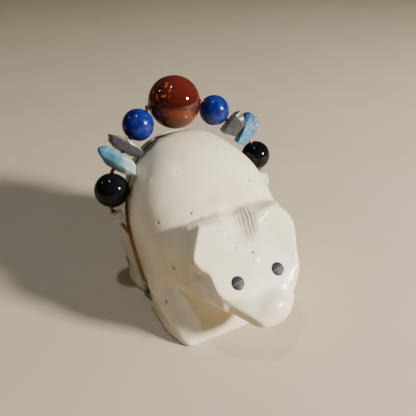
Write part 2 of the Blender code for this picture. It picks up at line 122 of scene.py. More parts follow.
BRIDGE = (-1.0, -19.9, 11.6)
GLINTS = [(0.7, -15.8, 15.75), (-11.1, -10.7, 6.0), (-11.6, -9.8, 6.6)]
MUZZLE = Vector((1.0, -20.1, 8.8))
MUZZLE_RADII = (4.3, 2.9, 2.9)


# ---------------------------------------------------------------- helpers


def direction(azimuth, elevation):
    """Unit vector from the bear towards a place at this azimuth and elevation."""
    flat = math.cos(elevation)
    return Vector((math.sin(azimuth) * flat, -math.cos(azimuth) * flat, math.sin(elevation)))


def link(item):
    bpy.context.scene.collection.objects.link(item)
    return item


def new_object(name, data, finish):
    item = link(bpy.data.objects.new(name, data))
    item.data.materials.clear()
    item.data.materials.append(finish)
    return item


def mesh_from(shape, name):
    """A smooth-shaded mesh in metres from a bmesh in millimetres."""
    bmesh.ops.scale(shape, verts=shape.verts, vec=(MM, MM, MM))
    bmesh.ops.recalc_face_normals(shape, faces=shape.faces)
    mesh = bpy.data.meshes.new(name)
    shape.to_mesh(mesh)
    shape.free()
    mesh.shade_smooth()
    return mesh


def piece(name, mesh, finish, body, node):
    """A finished piece that rides on a body and stands for a CAD node."""
    item = new_object(name, mesh, finish)
    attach(item, body)
    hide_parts(node)


def points_of(mesh):
    """The mesh's points as rows of millimetres."""
    flat = np.empty(len(mesh.vertices) * 3)
    mesh.vertices.foreach_get("co", flat)
    return flat.reshape(-1, 3) / MM


def set_points(mesh, points):
    mesh.vertices.foreach_set("co", (points * MM).ravel())
    mesh.update()


def normals_of(mesh):
    flat = np.empty(len(mesh.vertices) * 3)
    mesh.vertex_normals.foreach_get("vector", flat)
    return flat.reshape(-1, 3)


def edges_of(mesh):
    flat = np.empty(len(mesh.edges) * 2, dtype=np.int32)
    mesh.edges.foreach_get("vertices", flat)
    return flat.reshape(-1, 2)


def polished(points, edges, passes, shrink=0.5, grow=-0.52):
    """Even out small facets without shrinking the form (Taubin's two-step smoothing)."""
    a, b = edges[:, 0], edges[:, 1]
    count = np.bincount(np.concatenate((a, b)), minlength=len(points))[:, None]
    for _ in range(passes):
        for factor in (shrink, grow):
            total = np.empty_like(points)
            for axis in range(3):
                total[:, axis] = np.bincount(
                    np.concatenate((a, b)),
                    weights=np.concatenate((points[b, axis], points[a, axis])),
                    minlength=len(points),
                )
            points = points + (total / count - points) * factor
    return points


def remeshed(source, name, voxel, additions=None):
    """A copy of a CAD node's mesh, with any additions, as one skin of even small faces."""
    data = source.data.copy()
    if additions:
        shape = bmesh.new()
        shape.from_mesh(data)
        extra = bpy.data.meshes.new("additions")
        additions.to_mesh(extra)
        additions.free()
        shape.from_mesh(extra)
        shape.to_mesh(data)
        shape.free()
    copy = link(bpy.data.objects.new(name, data))
    step = copy.modifiers.new("one_skin", "REMESH")
    step.mode = "VOXEL"
    step.voxel_size = voxel * MM
    graph = bpy.context.evaluated_depsgraph_get()
    mesh = bpy.data.meshes.new_from_object(copy.evaluated_get(graph))
    bpy.data.objects.remove(copy)
    mesh.name = name
    mesh.shade_smooth()
    return mesh


def ramp(value, low, high):
    """Smooth step from 0 at low to 1 at high; low may be above high."""
    t = np.clip((value - low) / (high - low), 0.0, 1.0)
    return t * t * (3 - 2 * t)


def mark(mesh, name, values):
    """Store one number for each point, for the materials to read."""
    layer = mesh.attributes.new(name, "FLOAT", "POINT")
    layer.data.foreach_set("value", values.astype(np.float32))


# ---------------------------------------------------------------- material helpers


def shader_tree(name):
    finish = bpy.data.materials.new(name)
    finish.use_nodes = True
    return finish, finish.node_tree, finish.node_tree.nodes["Principled BSDF"]


def add(tree, kind, inputs=None, **settings):
    """Add a node; inputs that are sockets are linked and the others are set."""
    item = tree.nodes.new(kind)
    for key, value in settings.items():
        setattr(item, key, value)
    fill(tree, item, inputs or {})
    return item


def fill(tree, item, inputs):
    for key, value in inputs.items():
        if isinstance(value, bpy.types.NodeSocket):
            tree.links.new(value, item.inputs[key])
        else:
            item.inputs[key].default_value = value


def spots(tree, size, detail=4.0, roughness=0.55, stretch=(1, 1, 1), distortion=0.0):
    """Noise with features of about this size in millimetres, from 0 to 1."""
    where = add(tree, "ShaderNodeTexCoord")
    mapping = add(tree, "ShaderNodeMapping", {"Vector": where.outputs["Object"], "Scale": stretch})
    texture = add(tree, "ShaderNodeTexNoise", {
        "Vector": mapping.outputs[0], "Scale": 1 / (size * MM), "Detail": detail,
        "Roughness": roughness, "Distortion": distortion,
    })
    return texture.outputs["Fac"]


def blend_colours(tree, factor, stops):
    """A colour ramp over (position, colour) stops."""
    item = add(tree, "ShaderNodeValToRGB", {"Fac": factor})
    for i, (position, colour) in enumerate(stops):
        stop = item.color_ramp.elements[i] if i < 2 else item.color_ramp.elements.new(position)
        stop.position = position
        stop.color = (*colour, 1.0)
    return item.outputs["Color"]


def mix(tree, factor, first, second):
    """Mix two colours; each may be a socket or a plain colour."""
    item = tree.nodes.new("ShaderNodeMix")
    item.data_type = "RGBA"
    for index, value in ((0, factor), (6, first), (7, second)):
        if isinstance(value, bpy.types.NodeSocket):
            tree.links.new(value, item.inputs[index])
        elif index == 0:
            item.inputs[index].default_value = value
        else:
            item.inputs[index].default_value = (*value, 1.0)
    return item.outputs[2]


def between(tree, value, low, high, out_low=0.0, out_high=1.0):
    item = add(tree, "ShaderNodeMapRange", {
        "Value": value, "From Min": low, "From Max": high, "To Min": out_low, "To Max": out_high,
    })
    return item.outputs[0]


def calc(tree, operation, first, second):
    item = tree.nodes.new("ShaderNodeMath")
    item.operation = operation
    for index, value in enumerate((first, second)):
        if isinstance(value, bpy.types.NodeSocket):
            tree.links.new(value, item.inputs[index])
        else:
            item.inputs[index].default_value = value
    return item.outputs[0]


def bump(tree, height, depth, normal=None):
    """A bump whose full height is depth millimetres."""
    inputs = {"Height": height, "Strength": 1.0, "Distance": depth * MM}
    if normal:
        inputs["Normal"] = normal
    return add(tree, "ShaderNodeBump", inputs).outputs[0]


# ---------------------------------------------------------------- materials


def stone_finish():
    """Cream-white stone: cloudy, faintly stained, polished, with dark pits and fine scratches."""
    finish, tree, shader = shader_tree("polished_cream_stone")
    clouds = spots(tree, 9.0, detail=5.0)
    base = blend_colours(tree, clouds, [
        (0.30, (0.65, 0.56, 0.40)), (0.50, (0.75, 0.68, 0.52)), (0.72, (0.81, 0.75, 0.60)),
    ])
    grain = spots(tree, 0.35, detail=3.0)
    base = mix(tree, between(tree, grain, 0.35, 0.75, 0.0, 0.18), base, (0.81, 0.765, 0.66))
    stain = spots(tree, 4.0, detail=6.0, roughness=0.65)
    base = mix(tree, between(tree, stain, 0.52, 0.78, 0.0, 0.40), base, (0.62, 0.50, 0.35))
    pit = add(tree, "ShaderNodeAttribute", attribute_name="pit").outputs["Fac"]
    base = mix(tree, pit, base, (0.10, 0.09, 0.09))
    chatter = add(tree, "ShaderNodeAttribute", attribute_name="chatter").outputs["Fac"]
    fine = spots(tree, 0.12, detail=2.0)
    scratch = spots(tree, 0.25, detail=2.0, stretch=(0.06, 1.0, 1.0))
    where = add(tree, "ShaderNodeMapping", {
        "Vector": add(tree, "ShaderNodeTexCoord").outputs["Object"], "Rotation": (0, 0, CHATTER_TURN),
    }).outputs[0]
    ridges = add(tree, "ShaderNodeTexWave", {
        "Vector": where, "Scale": 1 / (2.0 * MM), "Distortion": 1.6, "Detail": 2.0,
        "Detail Scale": 1.5,
    }, wave_type="BANDS", bands_direction="X").outputs["Fac"]
    ridge_height = calc(tree, "MULTIPLY", ridges, chatter)
    normal = bump(tree, fine, 0.004)
    normal = bump(tree, scratch, 0.014, normal)
    normal = bump(tree, ridge_height, 0.055, normal)
    rough = between(tree, spots(tree, 1.6, detail=5.0), 0.3, 0.7, 0.28, 0.42)
    rough = calc(tree, "ADD", rough, calc(tree, "MULTIPLY", pit, 0.4))
    fill(tree, shader, {
        "Base Color": base, "Roughness": rough, "Normal": normal, "Coat Weight": 0.15,
        "Coat Roughness": 0.12, "Subsurface Weight": 0.12, "Subsurface Scale": 0.8 * MM,
        "Specular IOR Level": 0.5,
    })
    shader.inputs["Subsurface Radius"].default_value = (1.0, 0.8, 0.55)
    return finish


def jet_finish():
    """Dark slate-grey inlay with a pale polishing scratch across it."""
    finish, tree, shader = shader_tree("dark_inlay")
    clouds = spots(tree, 0.5, detail=4.0)
    base = blend_colours(tree, clouds, [(0.35, (0.006, 0.008, 0.012)), (0.7, (0.018, 0.021, 0.028))])
    scratch = add(tree, "ShaderNodeAttribute", attribute_name="scratch").outputs["Fac"]
    base = mix(tree, calc(tree, "MULTIPLY", scratch, 0.8), base, (0.085, 0.092, 0.107))
    fill(tree, shader, {
        "Base Color": base, "Roughness": between(tree, clouds, 0.3, 0.7, 0.38, 0.55),
        "Normal": bump(tree, clouds, 0.01), "Specular IOR Level": 0.2,
    })
    return finish


def amber_finish():
    """Deep red-brown amber with painted light: a painted caustic, orange low down where light gathers through
    the bead, and real cracks painted bright orange as glints in one patch; dark elsewhere.
    """
    finish, tree, shader = shader_tree("clear_amber")
    lift = add(tree, "ShaderNodeAttribute", attribute_name="lift").outputs["Fac"]
    clouds = spots(tree, 3.0, detail=4.0, distortion=0.6)
    height = calc(tree, "ADD", lift, between(tree, clouds, 0.3, 0.7, -0.03, 0.03))
    # The orange band low down is a painted caustic, where light gathers through the bead; the rest is the
    # amber's dark red-brown.
    base = blend_colours(tree, height, [
        (0.06, (0.08, 0.011, 0.004)), (0.25, (0.16, 0.024, 0.006)), (0.29, (0.046, 0.006, 0.004)),
        (0.62, (0.080, 0.010, 0.007)), (0.92, (0.11, 0.015, 0.009)),
    ])
    # Cracks painted bright orange only in the patch where they catch the light: real cracks with painted
    # glints.
    crack_glint = add(tree, "ShaderNodeAttribute", attribute_name="crack_glint").outputs["Fac"]
    cracks = calc(tree, "MULTIPLY", between(tree, spots(tree, 0.8, detail=4.0), 0.54, 0.68), crack_glint)
    base = mix(tree, cracks, base, (0.85, 0.24, 0.06))
    fill(tree, shader, {
        "Base Color": base, "Roughness": 0.04, "IOR": 1.54, "Transmission Weight": 0.26,
        "Normal": bump(tree, spots(tree, 1.5), 0.006), "Specular IOR Level": 0.3,
        "Subsurface Weight": 0.2, "Subsurface Scale": 1.2 * MM,
    })
    shader.inputs["Subsurface Radius"].default_value = (1.0, 0.35, 0.15)
    return finish


def lapis_finish():
    """Deep royal-blue lapis with lighter mottling, paler wisps and sparse gold specks."""
    finish, tree, shader = shader_tree("lapis_lazuli")
    mottle = spots(tree, 1.8, detail=6.0, roughness=0.62, distortion=0.4)
    base = blend_colours(tree, mottle, [
        (0.32, (0.002, 0.005, 0.050)), (0.52, (0.005, 0.012, 0.14)), (0.74, (0.014, 0.038, 0.28)),
    ])
    wisp = spots(tree, 0.7, detail=5.0, distortion=1.2)
    base = mix(tree, between(tree, wisp, 0.62, 0.80, 0.0, 0.30), base, (0.08, 0.14, 0.42))
    speck = spots(tree, 0.22, detail=2.0)
    base = mix(tree, between(tree, speck, 0.76, 0.80), base, (0.45, 0.36, 0.16))
    fill(tree, shader, {
        "Base Color": base, "Roughness": between(tree, mottle, 0.3, 0.7, 0.16, 0.26),
        "Normal": bump(tree, wisp, 0.008), "Coat Weight": 0.15, "Coat Roughness": 0.05,
        "Specular IOR Level": 0.2,
    })
    return finish


def onyx_finish():
    """Glossy black onyx with barely lighter bands."""
    finish, tree, shader = shader_tree("black_onyx")
    bands = spots(tree, 3.0, detail=2.0, stretch=(0.3, 0.3, 1.6))
    base = blend_colours(tree, bands, [(0.4, (0.002, 0.002, 0.0025)), (0.75, (0.006, 0.006, 0.007))])
    fill(tree, shader, {
        "Base Color": base, "Roughness": between(tree, spots(tree, 0.8), 0.3, 0.7, 0.05, 0.10),
        "Normal": bump(tree, spots(tree, 1.2), 0.004), "Specular IOR Level": 0.16,
    })
    return finish


def turquoise_finish(name, pale, sky, deep):
    """Tumbled turquoise, paler at its inner end, with a deeper outer end and faint dark veins."""
    finish, tree, shader = shader_tree(name)
    reach = add(tree, "ShaderNodeAttribute", attribute_name="outward").outputs["Fac"]
    wander = spots(tree, 2.0, detail=4.0)
    place = calc(tree, "ADD", reach, between(tree, wander, 0.3, 0.7, -0.22, 0.22))
    base = blend_colours(tree, place, [(0.12, pale), (0.55, sky), (0.95, deep)])
    chalk = spots(tree, 0.8, detail=5.0)
    base = mix(tree, between(tree, chalk, 0.55, 0.75, 0.0, 0.30), base, (0.34, 0.50, 0.58))
    vein = spots(tree, 1.6, detail=5.0, distortion=1.5)
    thin = calc(tree, "LESS_THAN", calc(tree, "ABSOLUTE", calc(tree, "SUBTRACT", vein, 0.5), 0), 0.004)
    base = mix(tree, calc(tree, "MULTIPLY", thin, 0.4), base, (0.16, 0.24, 0.26))
    fill(tree, shader, {
        "Base Color": base, "Roughness": between(tree, chalk, 0.3, 0.7, 0.38, 0.55),
        "Normal": bump(tree, chalk, 0.02), "Specular IOR Level": 0.3,
    })
    return finish


def quartz_finish(name, tint, cloud_tint, haze):
    """Cloudy quartz: clear between milky wisps."""
    finish, tree, shader = shader_tree(name)
    wisps = spots(tree, 2.6, detail=3.0, roughness=0.5, distortion=0.6)
    base = mix(tree, between(tree, wisps, 0.35, 0.65), tint, cloud_tint)
    clear = between(tree, wisps, 0.30, 0.72, 0.80 - haze, 0.55 - haze)
    fill(tree, shader, {
        "Base Color": base, "Roughness": between(tree, wisps, 0.3, 0.7, 0.22, 0.38), "IOR": 1.50,
        "Transmission Weight": clear, "Normal": bump(tree, spots(tree, 0.9), 0.03),
        "Specular IOR Level": 0.35, "Subsurface Weight": 0.3, "Subsurface Scale": 0.6 * MM,
    })
    return finish


def sinew_finish(name, dark, light):
    """Waxed sinew: fibres along the strand, darker in the wax between them."""
    finish, tree, shader = shader_tree(name)
    along = add(tree, "ShaderNodeAttribute", attribute_name="along").outputs["Fac"]
    around = add(tree, "ShaderNodeAttribute", attribute_name="around").outputs["Fac"]
    lay = add(tree, "ShaderNodeCombineXYZ", {"X": calc(tree, "MULTIPLY", along, 0.5), "Y": around})
    fibres = add(tree, "ShaderNodeTexNoise", {
        "Vector": lay.outputs[0], "Scale": 14.0, "Detail": 3.0, "Roughness": 0.6,
    }).outputs["Fac"]
    patch = spots(tree, 2.5)
    base = blend_colours(tree, fibres, [(0.32, dark), (0.68, light)])
    base = mix(tree, between(tree, patch, 0.4, 0.7, 0.0, 0.4), base, dark)
    fill(tree, shader, {
        "Base Color": base, "Roughness": between(tree, fibres, 0.3, 0.7, 0.30, 0.5),
        "Normal": bump(tree, fibres, 0.05), "Subsurface Weight": 0.15, "Sheen Weight": 0.1,
    })
    shader.inputs["Subsurface Scale"].default_value = 0.3 * MM
    return finish


def floor_finish():
    finish, tree, shader = shader_tree("pale_floor")
    soft = spots(tree, 40.0)
    base = blend_colours(tree, soft, [(0.3, (0.50, 0.43, 0.32)), (0.7, (0.53, 0.46, 0.35))])
    fill(tree, shader, {"Base Color": base, "Roughness": 0.6})
    return finish


# ---------------------------------------------------------------- the stone

# Open pits in the stone, each with its radius
PITS = [
    ((-6.0, -5.6, 20.8), 0.22), ((-11.1, -3.4, 19.1), 0.19), ((-1.6, -10.7, 20.3), 0.18),
    ((-1.9, -13.7, 17.7), 0.18), ((0.6, -14.9, 16.6), 0.25), ((-12.6, -8.7, 6.2), 0.23),
    ((3.6, 6.1, 27.6), 0.16), ((4.0, 3.8, 27.0), 0.18), ((7.2, -2.9, 22.4), 0.22),
    ((-5.5, 0.8, 25.4), 0.14), ((-10.7, -8.5, 12.9), 0.26), ((-10.2, -9.2, 12.4), 0.20),
]
LOOSE_PITS = 34

# Crisp edges (raised) and tool cuts (sunk): a line over the stone, its half width and height
EDGES = [
    ([(-13.4, -3.2, 6.1), (-13.0, -8.9, 4.6), (-12.6, -10.9, 3.3), (-11.8, -13.2, 1.5), (-10.9, -14.5, 0.2)],
     0.9, 0.34),
    ([(-10.4, -9.2, 9.6), (-9.0, -14.3, 9.6), (-7.0, -18.5, 8.9), (-3.1, -22.2, 7.8)], 0.7, 0.22),
    ([(-9.8, -12.8, 14.2), (-8.7, -13.7, 15.7)], 0.32, -0.22),
    ([(-9.3, -13.6, 14.2), (-8.4, -14.5, 15.4)], 0.28, -0.18),
    ([(-4.8, -11.2, 19.9), (-3.0, -11.6, 19.6)], 0.30, 0.10),
    ([(2.8, -11.6, 19.6), (5.9, -10.7, 20.4)], 0.26, 0.08),
    ([(-6.9, -19.0, 12.4), (-6.5, -19.6, 10.4)], 0.26, -0.13),
    ([(-6.2, -19.6, 11.8), (-5.8, -20.1, 10.0)], 0.26, -0.12),
    ([(-5.5, -20.2, 11.2), (-5.1, -20.6, 9.6)], 0.26, -0.10),
]


def pit_places(points):
    """The pits seen on the near side, and a scatter of the same kind over the rest."""
    rng = np.random.default_rng(7)
    places = list(PITS)
    hidden = np.flatnonzero((points[:, 1] > 4.0) | (points[:, 0] > 9.0))
    for index in rng.choice(hidden, LOOSE_PITS, replace=False):
        places.append((tuple(points[index]), float(rng.uniform(0.12, 0.28))))
    return places


def sink_pits(points, normals):
    """Press the pits into the stone and return the points with each one's darkness."""
    dark = np.zeros(len(points))
    for centre, radius in pit_places(points):
        away = np.linalg.norm(points - np.array(centre), axis=1)
        depth = ramp(away, radius * 1.6, radius * 0.4)
        points = points - normals * (depth * radius * 0.9)[:, None]
        dark = np.maximum(dark, ramp(away, radius * 1.35, radius * 0.75))
    return points, dark


def chatter_patch(points):
    """Where the tool left ridges between the ears."""
    x, y, z = points.T
    across = ramp(x, -2.6, -0.6) * ramp(x, 4.6, 3.0)
    along = ramp(y, -13.4, -12.2) * ramp(y, -7.2, -8.6)
    return across * along * ramp(z, 16.0, 18.0)


def waist_path(skin, middle, lean_above, lean_below):
    """Points on the stone from flank to flank over the back, as (point, outward way)."""
    path = []
    for degrees in range(-FLANK_ANGLE, FLANK_ANGLE + 1, PATH_STEP):
        angle = math.radians(degrees)
        lean = lean_above if math.cos(angle) > 0 else lean_below
        way = Vector((math.sin(angle), lean * math.cos(angle), math.cos(angle))).normalized()
        hit, _, _, _ = skin.ray_cast(middle, way)
        path.append((hit, way))
    return path


def skin_of(mesh, points):
    """A search tree over the mesh's faces, in millimetres."""
    faces = [tuple(face.vertices) for face in mesh.polygons]
    return BVHTree.FromPolygons([Vector(p) for p in points], faces)


def groove(points, path, radius, on_flank, on_back, sign):
    """Sink a round groove along the path (sign -1), or fill up the one there is (sign 1).

    Also returns how near the path each point is, from 0 to 1.
    """
    hits = np.array([hit for hit, _ in path])
    ways = np.array([way for _, way in path])
    ends = hits[1:] - hits[:-1]
    steps = np.linspace(0.0, 1.0, 6, endpoint=False)[:, None, None]
    dense = (hits[:-1] + ends * steps).reshape(-1, 3)
    dense_ways = np.broadcast_to(ways[:-1], (6, *ends.shape)).reshape(-1, 3)
    along = np.broadcast_to(ends, (6, *ends.shape)).reshape(-1, 3)
    across = np.cross(dense_ways, along)
    across /= np.linalg.norm(across, axis=1)[:, None]
    near = np.flatnonzero(np.abs(points[:, 1] - WAIST.y) < 14.0)
    moved = points.copy()
    closeness = np.zeros(len(points))
    for chunk in np.array_split(near, 40):
        offset = points[chunk][:, None, :] - dense[None]
        closest = np.argmin((offset ** 2).sum(axis=2), axis=1)
        rows = np.arange(len(chunk))
        aside = np.abs((offset[rows, closest] * across[closest]).sum(axis=1))
        apart = np.linalg.norm(offset[rows, closest], axis=1)
        depth = on_flank + (on_back - on_flank) * ramp(dense_ways[closest][:, 2], 0.0, 0.7)
        step = np.sqrt(np.maximum(radius ** 2 - aside ** 2, 0.0)) - radius + depth
        step = np.where(apart < radius + 0.4, np.maximum(step, 0.0), 0.0)
        moved[chunk] += dense_ways[closest] * (sign * step)[:, None]
        closeness[chunk] = ramp(apart, radius + 2.0, radius)
    return moved, closeness


def face_height(y):
    return FACE_POINT.z + (y - FACE_POINT.y) * FACE_SLOPE


def add_face_block(shape, outline, depth=4.2, taper=0.82):
    """A block whose flat front lies in the face; it narrows towards the back."""
    front = [Vector((x, y, face_height(y))) for x, y in outline]
    middle = sum(front, Vector()) / len(front)
    back = [middle + (p - middle) * taper - FACE_NORMAL * depth for p in front]
    verts = [shape.verts.new(p) for p in front + back]
    made = bmesh.ops.convex_hull(shape, input=verts)
    spare = set(made["geom_interior"] + made["geom_unused"])
    bmesh.ops.delete(shape, geom=list(spare), context="VERTS")


def head_additions():
    """The full outline of the ears and cheeks, and the round end of the muzzle."""
    shape = bmesh.new()
    for outline in (RIGHT_EAR, RIGHT_CHEEK, LEFT_EAR, LEFT_CHEEK):
        add_face_block(shape, outline)
    place = Matrix.Translation(MUZZLE) @ Matrix.Diagonal((*MUZZLE_RADII, 1.0))
    bmesh.ops.create_uvsphere(shape, u_segments=48, v_segments=32, radius=1.0, matrix=place)
    bmesh.ops.recalc_face_normals(shape, faces=shape.faces)
    bmesh.ops.scale(shape, verts=shape.verts, vec=(MM, MM, MM))
    return shape


def ground(points, spot, normal, where):
    """Grind off what stands above a plane, as far as where (0 to 1) reaches."""
    normal = np.array(normal) / np.linalg.norm(normal)
    height = (points - np.array(spot)) @ normal
    return points - normal * (np.maximum(height, 0.0) * where)[:, None]


def dented(points, centre, radii, way):
    """Move points near centre by the vector way, fading out over the three radii."""
    away = np.linalg.norm((points - np.array(centre)) / np.array(radii), axis=1)
    return points + np.array(way) * ramp(away, 1.0, 0.0)[:, None]


def along_line(points, line, radius, height):
    """Raise a soft edge, or sink a cut, of this height along a line of points."""
    line = np.array(line)
    nearest = np.full(len(points), np.inf)
    for start, end in zip(line, line[1:]):
        run = end - start
        share = np.clip((points - start) @ run / (run @ run), 0.0, 1.0)
        away = np.linalg.norm(points - start - share[:, None] * run, axis=1)
        nearest = np.minimum(nearest, away)
    return height * np.exp(-(nearest / radius) ** 2)


def softened(points, edges, weight, passes):
    """Round off hollows and lumps, as far as weight (0 to 1) reaches."""
    a, b = edges[:, 0], edges[:, 1]
    ends, others = np.concatenate((a, b)), np.concatenate((b, a))
    count = np.bincount(ends, minlength=len(points))
    for _ in range(passes):
        total = [np.bincount(ends, weights=points[others, i], minlength=len(points)) for i in range(3)]
        middle = np.stack(total, axis=1) / count[:, None]
        points = points + (middle - points) * weight[:, None] * 0.6
    return points


def head_flats(points, edges):
    """Grind the face and the right ear's side flat and run the ear's side into the shoulder."""
    x, y, z = points.T
    face = ramp(y, -9.6, -10.6) * ramp(z, 8.0, 9.0) * ramp(y, -20.2, -19.2)
    points = ground(points, FACE_POINT, FACE_NORMAL, face)
    ear = ramp(x, -4.0, -5.0) * ramp(y, -8.0, -10.0) * ramp(y, -15.2, -13.8) * ramp(z, 13.0, 15.0)
    points = ground(points, EAR_EDGE, EAR_SIDE, ear)
    x, y, z = points.T
    away = np.linalg.norm(points - np.array(SHOULDER), axis=1)
    return softened(points, edges, ramp(away, 5.6, 3.2) * ramp(y, -11.6, -10.0), 60)


def carved(points, normals, edges):
    """Press in the muzzle's dip and the notch, and add the tool marks and the crisp edges."""
    x, y, z = points.T
    muzzle = ramp(x, 0.5, -1.0) * ramp(y, -18.6, -19.4) * ramp(z, 12.6, 11.8)
    points = ground(points, MUZZLE_SIDE, MUZZLE_SIDE_NORMAL, muzzle)
    points = softened(points, edges, muzzle * 0.8, 14)
    cheek = np.linalg.norm(points - np.array(CHEEK_END), axis=1)
    points = softened(points, edges, ramp(cheek, 3.4, 1.6), 60)
    points = dented(points, (0.4, -20.2, 11.8), (9.5, 2.6, 3.0), (0.0, 0.06, -0.14))
    bridge = np.linalg.norm((points - np.array(BRIDGE)) / np.array((7.0, 1.9, 1.9)), axis=1)
    points = softened(points, edges, ramp(bridge, 1.0, 0.5), 30)
    for spot in GLINTS:
        points = dented(points, spot, (0.9, 0.9, 0.9), tuple(FACE_NORMAL * 0.10))
    points = dented(points, (0.5, -10.6, 20.0), (3.4, 5.2, 3.4), (0.0, 0.3, -1.5))
    lift = sum(along_line(points, line, radius, height) for line, radius, height in EDGES)
    return points + normals * lift[:, None]


def make_stone():
    """The carved bear; returns the string's path over it."""
    source = frame["nodes"]["bear_carving"]
    coarse = remeshed(source, "coarse_bear", COARSE_VOXEL, head_additions())
    edges = edges_of(coarse)
    points = polished(points_of(coarse), edges, 6)
    cut = waist_path(skin_of(coarse, points), WAIST, LEAN_ABOVE, LEAN_BELOW)
    points, near = groove(points, cut, GROOVE_RADIUS, GROOVE_DEPTH, GROOVE_DEPTH, 1.0)
    points = softened(points, edges, near, 40)
    set_points(coarse, head_flats(points, edges))
    form = bpy.data.objects.new("form", coarse)
    mesh = remeshed(form, "stone_bear", STONE_VOXEL)
    bpy.data.objects.remove(form)
    edges = edges_of(mesh)
    points = polished(points_of(mesh), edges, STONE_POLISH)
    path = waist_path(skin_of(mesh, points), STRING_WAIST, STRING_ABOVE, STRING_BELOW)
    points, _ = groove(points, path, *WORN_GROOVE, -1.0)
    set_points(mesh, points)
    points = carved(points, normals_of(mesh), edges)
    points = polished(points, edges, 2)
    points[:, 2] = np.maximum(points[:, 2], 0.0)
    set_points(mesh, points)
    mark(mesh, "chatter", chatter_patch(points))
    points, dark = sink_pits(points, normals_of(mesh))
    mark(mesh, "pit", dark)
    set_points(mesh, points)
    piece("stone_bear", mesh, stone_finish(), BEAR, "bear_carving")
    return waist_path(skin_of(mesh, points), STRING_WAIST, STRING_ABOVE, STRING_BELOW)


def make_eyes():
    """Round, slightly domed inlays in the face, each with a fine polishing scratch across it."""
    finish = jet_finish()
    slope = FACE_NORMAL.to_track_quat("Z", "X")
    rim = EYE_RADIUS - 0.07
    profile = [(0.0, -0.5), (EYE_RADIUS, -0.5), (EYE_RADIUS, -0.06), (rim, 0.0)]
    steps = 12
    profile += [(rim * (1 - i / steps), 0.10 * (1 - (1 - i / steps) ** 2)) for i in range(1, steps + 1)]
    for side, hand in SIDES:
        centre = Vector((side * EYE_SPOT.x, EYE_SPOT.y, EYE_SPOT.z))
        place = Matrix.Translation(centre) @ slope.to_matrix().to_4x4()
        shape = bmesh.new()
        add_turned(shape, profile, 48, place)
        mesh = mesh_from(shape, f"{hand}_eye")
        offset = points_of(mesh) - np.array(centre)
        up_face = np.array((0.0, 1.0, FACE_SLOPE)) / math.hypot(1.0, FACE_SLOPE)
        line = offset @ (up_face * math.cos(SCRATCH) - np.array((math.sin(SCRATCH), 0.0, 0.0)))
        mark(mesh, "scratch", ramp(np.abs(line), 0.13, 0.04))
        piece(f"{hand}_eye_polished", mesh, finish, BEAR, f"{hand}_eye_inlay")


# ---------------------------------------------------------------- turned and tumbled pieces


def frame_of(joint):
    """A matrix at a bead's hole, +Z along the hole, from the joint that the bead turns on."""
    centre = Vector(joint["pos_m"]) / MM
    turn = Vector(joint["axis"]).to_track_quat("Z", "Y").to_matrix().to_4x4()
    return Matrix.Translation(centre) @ turn


def add_turned(shape, profile, segments, place):
    """Turn a profile of (radius, height) about Z; where it doesn't start on the axis it closes."""
    rings = []
    for radius, height in profile:
        count = segments if radius > 1e-6 else 1
        ring = []
        for i in range(count):
            angle = 2 * math.pi * i / count
            point = Vector((radius * math.cos(angle), radius * math.sin(angle), height))
            ring.append(shape.verts.new(place @ point))
        rings.append(ring)
    pairs = list(zip(rings, rings[1:]))
    if profile[0][0] > 1e-6:
        pairs.append((rings[-1], rings[0]))
    for low, high in pairs:
        for i in range(segments):
            j = (i + 1) % segments
            corners = [low[i % len(low)], low[j % len(low)], high[j % len(high)], high[i % len(high)]]
            shape.faces.new(list(dict.fromkeys(corners)))


def bead_profile(radius, lip=0.14, steps=30):
    """A ball's outside, rounded over into a straight hole."""
    hole = BEAD_HOLE / 2
    start = math.asin((hole + lip) / radius)
    outside = []
    for i in range(steps + 1):
        angle = start + (math.pi - 2 * start) * i / steps
        outside.append((radius * math.sin(angle), radius * math.cos(angle)))
    top = outside[0][1]
    inside = []
    for share in (1.0, 0.5, 0.0, -0.5, -1.0):
        inside.append((hole, share * (top - lip)))
    rounding = [(hole + 0.3 * lip, top - 0.3 * lip)]
    return outside + [(r, -z) for r, z in rounding] + inside[::-1] + rounding


def make_bead(node, finish, seed):
    joint = joint_of(node)
    place = frame_of(joint)
    radius = bead_radius(node)
    shape = bmesh.new()
    add_turned(shape, bead_profile(radius), 72, place)
    centre = place.translation
    for vert in shape.verts:
        out = vert.co - centre
        wave = noise.noise(out * 0.35 + Vector((seed, 0, 0)))
        vert.co -= out.normalized() * (0.04 * (wave + 1.0))
    mesh = mesh_from(shape, node)
    offset = (points_of(mesh) - np.array(centre)) / radius
    # 'lift' runs from the painted caustic, orange low down, to the dark part of the bead.
    mark(mesh, "lift", 0.5 + 0.5 * offset @ np.array(AMBER_CAUSTIC_WAY))
    # The patch where the amber's cracks get painted glints.
    toward = np.linalg.norm(offset - np.array(CRACK_GLINT_SPOT), axis=1)
    mark(mesh, "crack_glint", ramp(toward, 0.62, 0.25))
    piece(f"{node}_polished", mesh, finish, joint["child"], node)


def bead_radius(node):
    """Half the widest side of the bead's box; its drilled ends are a little nearer."""
    low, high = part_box(node)
    return max(high - low) / 2 / MM


def joint_of(node):
    """The joint that carries a bead or chip."""
    for joint in frame["record"]["behaviour"]["joints"]:
        if joint["child"] == f"{node}_body":
            return joint
    raise KeyError(node)


def make_chip(node, finish, seed, voxel=0.13, passes=32, rough=0.10):
    """A tumbled chip: the CAD's outline, worn smooth and slightly uneven."""
    joint = joint_of(node)
    mesh = remeshed(frame["nodes"][node], f"{node}_tumbled", voxel)
    edges = edges_of(mesh)
    points = polished(points_of(mesh), edges, passes)
    set_points(mesh, points)
    normals = normals_of(mesh)
    shift = [noise.noise(Vector(p) * 0.9 + Vector((seed, 0, 0))) for p in points]
    points = points + normals * (np.array(shift) * rough - rough)[:, None]
    set_points(mesh, points)
    out = Vector((joint["pos_m"][0], 0.0, joint["pos_m"][2] - WAIST.z * MM)).normalized()
    reach = (points - np.array(joint["pos_m"]) / MM) @ np.array(out)
    mark(mesh, "outward", (reach - reach.min()) / (reach.max() - reach.min()))
    piece(f"{node}_tumbled", mesh, finish, joint["child"], node)


